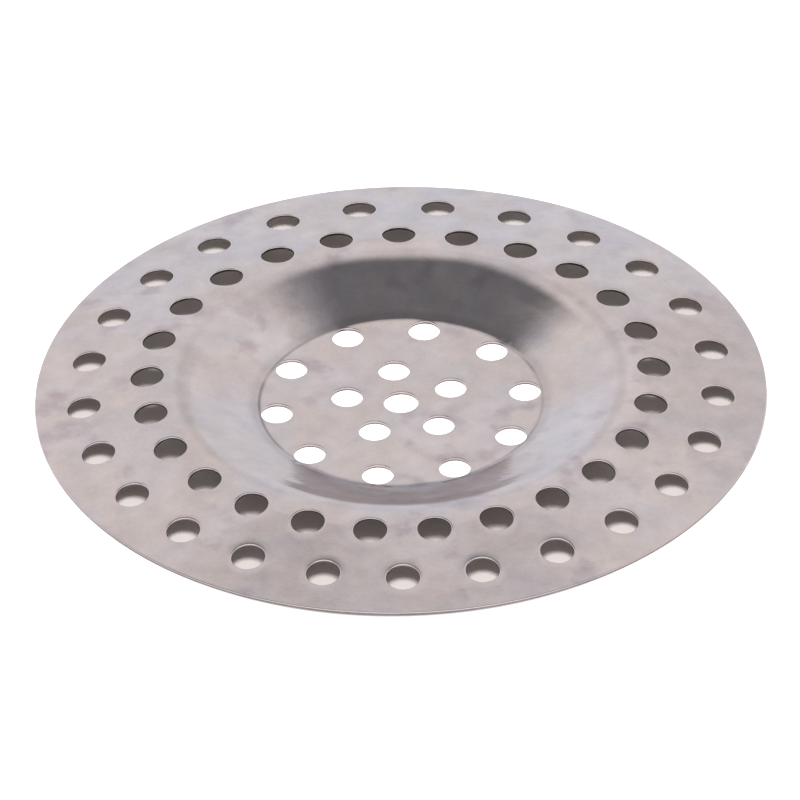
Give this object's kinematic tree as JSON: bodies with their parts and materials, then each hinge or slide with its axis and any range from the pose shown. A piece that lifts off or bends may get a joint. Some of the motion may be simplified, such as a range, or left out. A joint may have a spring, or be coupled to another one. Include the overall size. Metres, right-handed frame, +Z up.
{
  "type": "sink strainer",
  "caption": "Shallow round strainer pressed from thin perforated stainless sheet: a flat-floored bowl inside a wide sloping flange, laid over a sink's plughole to hold back scraps.",
  "frame": {"origin": "centre of the underside of the bowl's floor, which the strainer stands on", "axes": "+Z up along the strainer's axis, +Y towards the back of the picture, +X to its right"},
  "size_m": [0.07, 0.07, 0.0031],
  "materials": {
    "stainless_steel": "satin cold-rolled stainless sheet with faint handling marks and water stains"
  },
  "bodies": {
    "root": {"strainer_disc": "stainless_steel"}
  },
  "joints": []
}
